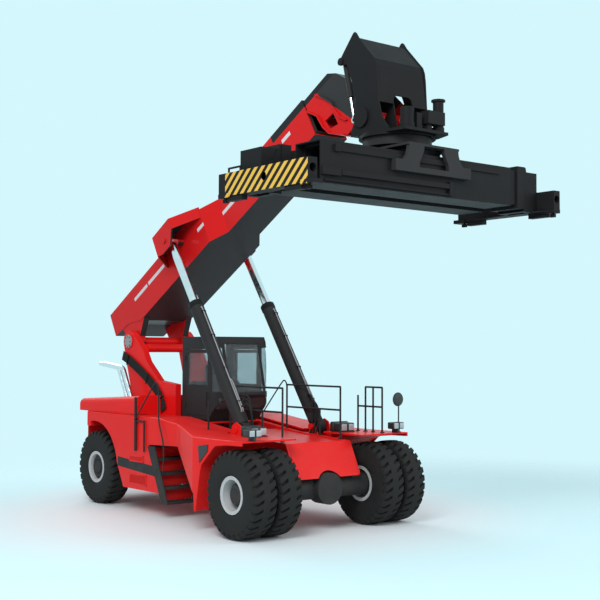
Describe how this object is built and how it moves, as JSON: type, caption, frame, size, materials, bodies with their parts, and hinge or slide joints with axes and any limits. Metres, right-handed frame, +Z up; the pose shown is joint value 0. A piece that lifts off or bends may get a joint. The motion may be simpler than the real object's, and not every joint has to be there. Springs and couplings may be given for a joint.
{
  "type": "reach stacker",
  "caption": "Red reach stacker for shipping containers with a telescopic boom, slewing spreader, glazed cab and twin drive wheels.",
  "frame": {"origin": "on the floor under the middle of the drive axle", "axes": "+X forward, +Y to the machine's left, +Z up"},
  "size_m": [10.8655, 6.053, 9.1501],
  "materials": {
    "red_paint": "gloss",
    "dark_grey_paint": "satin",
    "black_paint": "satin",
    "pale_paint": "satin",
    "tyre_rubber": "matte",
    "chrome_rod": "polished",
    "window_glass": "clear",
    "black_plastic": "matte",
    "seat_fabric": "matte",
    "engine_iron": "matte",
    "mirror_glass": "polished",
    "hose_rubber": "matte"
  },
  "bodies": {
    "chassis": {"main_frame": "red_paint", "counterweight": "red_paint", "engine_block": "engine_iron", "body_panels": "red_paint", "mudguards": "red_paint", "access_steps": "dark_grey_paint", "deck_rails": "dark_grey_paint", "stair_rails": "dark_grey_paint", "cab_shell": "dark_grey_paint", "cab_glazing": "window_glass", "operator_seat": "seat_fabric", "cab_controls": "black_plastic", "drive_axle": "dark_grey_paint", "steer_axle": "dark_grey_paint", "exhaust_pipes": "chrome_rod", "work_lamps": "black_plastic", "round_mirror": "mirror_glass", "tower_hoses": "hose_rubber", "engine_hood": "red_paint"},
    "hood_right": {"hood_flap_right": "red_paint"},
    "hood_left": {"hood_flap_left": "red_paint"},
    "door_right": {"cab_door_right": "dark_grey_paint", "door_glass_right": "window_glass"},
    "door_left": {"cab_door_left": "dark_grey_paint", "door_glass_left": "window_glass"},
    "drive_wheel_left": {"drive_tyres_left": "tyre_rubber", "drive_rims_left": "pale_paint"},
    "drive_wheel_right": {"drive_tyres_right": "tyre_rubber", "drive_rims_right": "pale_paint"},
    "knuckle_left": {"steer_knuckle_left": "dark_grey_paint"},
    "knuckle_right": {"steer_knuckle_right": "dark_grey_paint"},
    "steer_wheel_left": {"steer_tyre_left": "tyre_rubber", "steer_rim_left": "pale_paint"},
    "steer_wheel_right": {"steer_tyre_right": "tyre_rubber", "steer_rim_right": "pale_paint"},
    "steer_ram": {"steering_rod": "chrome_rod"},
    "link_left": {"track_link_left": "dark_grey_paint"},
    "link_right": {"track_link_right": "dark_grey_paint"},
    "boom_base": {"boom_outer": "red_paint"},
    "boom_slide": {"boom_inner": "dark_grey_paint", "boom_nose": "red_paint"},
    "lift_barrel_pair": {"lift_barrels": "dark_grey_paint"},
    "lift_rod_pair": {"lift_rods": "chrome_rod"},
    "head": {"head_frame": "black_paint"},
    "damper_barrel_pair": {"damper_barrels": "dark_grey_paint"},
    "damper_rod_pair": {"damper_rods": "chrome_rod"},
    "carriage": {"slewing_carriage": "dark_grey_paint"},
    "spreader": {"spreader_frame": "black_paint"},
    "arm_left": {"spreader_arm_left": "black_paint"},
    "arm_right": {"spreader_arm_right": "black_paint"}
  },
  "joints": [
    {"name": "drive_wheel_left_turn", "type": "hinge", "parent": "chassis", "child": "drive_wheel_left", "pos_m": [0, 1.58, 0.81], "axis": [0, 1, 0], "continuous": true},
    {"name": "drive_wheel_right_turn", "type": "hinge", "parent": "chassis", "child": "drive_wheel_right", "pos_m": [0, -1.58, 0.81], "axis": [0, 1, 0], "continuous": true},
    {"name": "steer_left", "type": "hinge", "parent": "chassis", "child": "knuckle_left", "pos_m": [-6, 1.02, 0.81], "axis": [0, 0, 1], "range_deg": [-60, 60]},
    {"name": "steer_right", "type": "hinge", "parent": "chassis", "child": "knuckle_right", "pos_m": [-6, -1.02, 0.81], "axis": [0, 0, 1], "range_deg": [-60, 60]},
    {"name": "steer_wheel_left_turn", "type": "hinge", "parent": "knuckle_left", "child": "steer_wheel_left", "pos_m": [-6, 1.33, 0.81], "axis": [0, 1, 0], "continuous": true},
    {"name": "steer_wheel_right_turn", "type": "hinge", "parent": "knuckle_right", "child": "steer_wheel_right", "pos_m": [-6, -1.33, 0.81], "axis": [0, 1, 0], "continuous": true},
    {"name": "steer_ram_slide", "type": "slide", "parent": "chassis", "child": "steer_ram", "axis": [0, 1, 0], "range_m": [-0.2, 0.2]},
    {"name": "link_left_turn", "type": "hinge", "parent": "knuckle_left", "child": "link_left", "pos_m": [-5.78, 0.96, 0.545], "axis": [0, 0, 1], "range_deg": [-62, 62]},
    {"name": "link_right_turn", "type": "hinge", "parent": "knuckle_right", "child": "link_right", "pos_m": [-5.78, -0.96, 0.545], "axis": [0, 0, 1], "range_deg": [-62, 62]},
    {"name": "door_left_swing", "type": "hinge", "parent": "chassis", "child": "door_left", "pos_m": [-3.745, 0.665, 2.75], "axis": [0, 0, 1], "range_deg": [0, 85]},
    {"name": "door_right_swing", "type": "hinge", "parent": "chassis", "child": "door_right", "pos_m": [-3.745, -0.665, 2.75], "axis": [0, 0, -1], "range_deg": [0, 85]},
    {"name": "hood_left_lift", "type": "hinge", "parent": "chassis", "child": "hood_left", "pos_m": [-5.7, 1.1303, 2.37449], "axis": [0.9986, 0, 0.0523], "range_deg": [0, 60]},
    {"name": "hood_right_lift", "type": "hinge", "parent": "chassis", "child": "hood_right", "pos_m": [-5.7, -1.1303, 2.37449], "axis": [-0.9986, 0, -0.0523], "range_deg": [0, 60]},
    {"name": "boom_lift", "type": "hinge", "parent": "chassis", "child": "boom_base", "pos_m": [-5.9, 0, 3.62], "axis": [0, 1, 0], "range_deg": [-28.2, 28.8]},
    {"name": "boom_extend", "type": "slide", "parent": "boom_base", "child": "boom_slide", "axis": [0.8678, 0, 0.497], "range_m": [0, 6.4]},
    {"name": "lift_barrel_swing", "type": "hinge", "parent": "chassis", "child": "lift_barrel_pair", "pos_m": [-1.19, 0, 1.88], "axis": [0, 1, 0], "range_deg": [-3.6, 3.6]},
    {"name": "lift_rod_slide", "type": "slide", "parent": "lift_barrel_pair", "child": "lift_rod_pair", "axis": [-0.5725, 0, 0.8199], "range_m": [-1.47, 1.47]},
    {"name": "head_tilt", "type": "hinge", "parent": "boom_slide", "child": "head", "pos_m": [1.89985, 0, 7.57305], "axis": [0, -1, 0], "range_deg": [-29, 29]},
    {"name": "damper_barrel_swing", "type": "hinge", "parent": "head", "child": "damper_barrel_pair", "pos_m": [1.31985, 0, 8.68005], "axis": [0, -1, 0], "range_deg": [-3, 3]},
    {"name": "damper_rod_slide", "type": "slide", "parent": "damper_barrel_pair", "child": "damper_rod_pair", "axis": [0.2308, 0, -0.973], "range_m": [-0.16, 0.16]},
    {"name": "slewing", "type": "hinge", "parent": "head", "child": "carriage", "pos_m": [2.176, 0, 7.1], "axis": [0, 0, 1], "range_deg": [-15, 285]},
    {"name": "side_shift", "type": "slide", "parent": "carriage", "child": "spreader", "axis": [0, 1, 0], "range_m": [-0.8, 0.8]},
    {"name": "arm_left_slide", "type": "slide", "parent": "spreader", "child": "arm_left", "axis": [0, 1, 0], "range_m": [0, 3.05]},
    {"name": "arm_right_slide", "type": "slide", "parent": "spreader", "child": "arm_right", "axis": [0, -1, 0], "range_m": [0, 3.05]}
  ],
  "couplings": [
    {"joint": "steer_right", "follows": "steer_left", "ratio": 1},
    {"joint": "steer_ram_slide", "follows": "steer_left", "m_per_rad": 0.182},
    {"joint": "link_left_turn", "follows": "steer_left", "ratio": -1},
    {"joint": "link_right_turn", "follows": "steer_left", "ratio": -1},
    {"joint": "lift_barrel_swing", "follows": "boom_lift", "ratio": 0.12},
    {"joint": "lift_rod_slide", "follows": "boom_lift", "m_per_rad": -2.84},
    {"joint": "damper_barrel_swing", "follows": "head_tilt", "ratio": 0.08},
    {"joint": "damper_rod_slide", "follows": "head_tilt", "m_per_rad": -0.2925},
    {"joint": "arm_right_slide", "follows": "arm_left_slide", "ratio": 1}
  ]
}
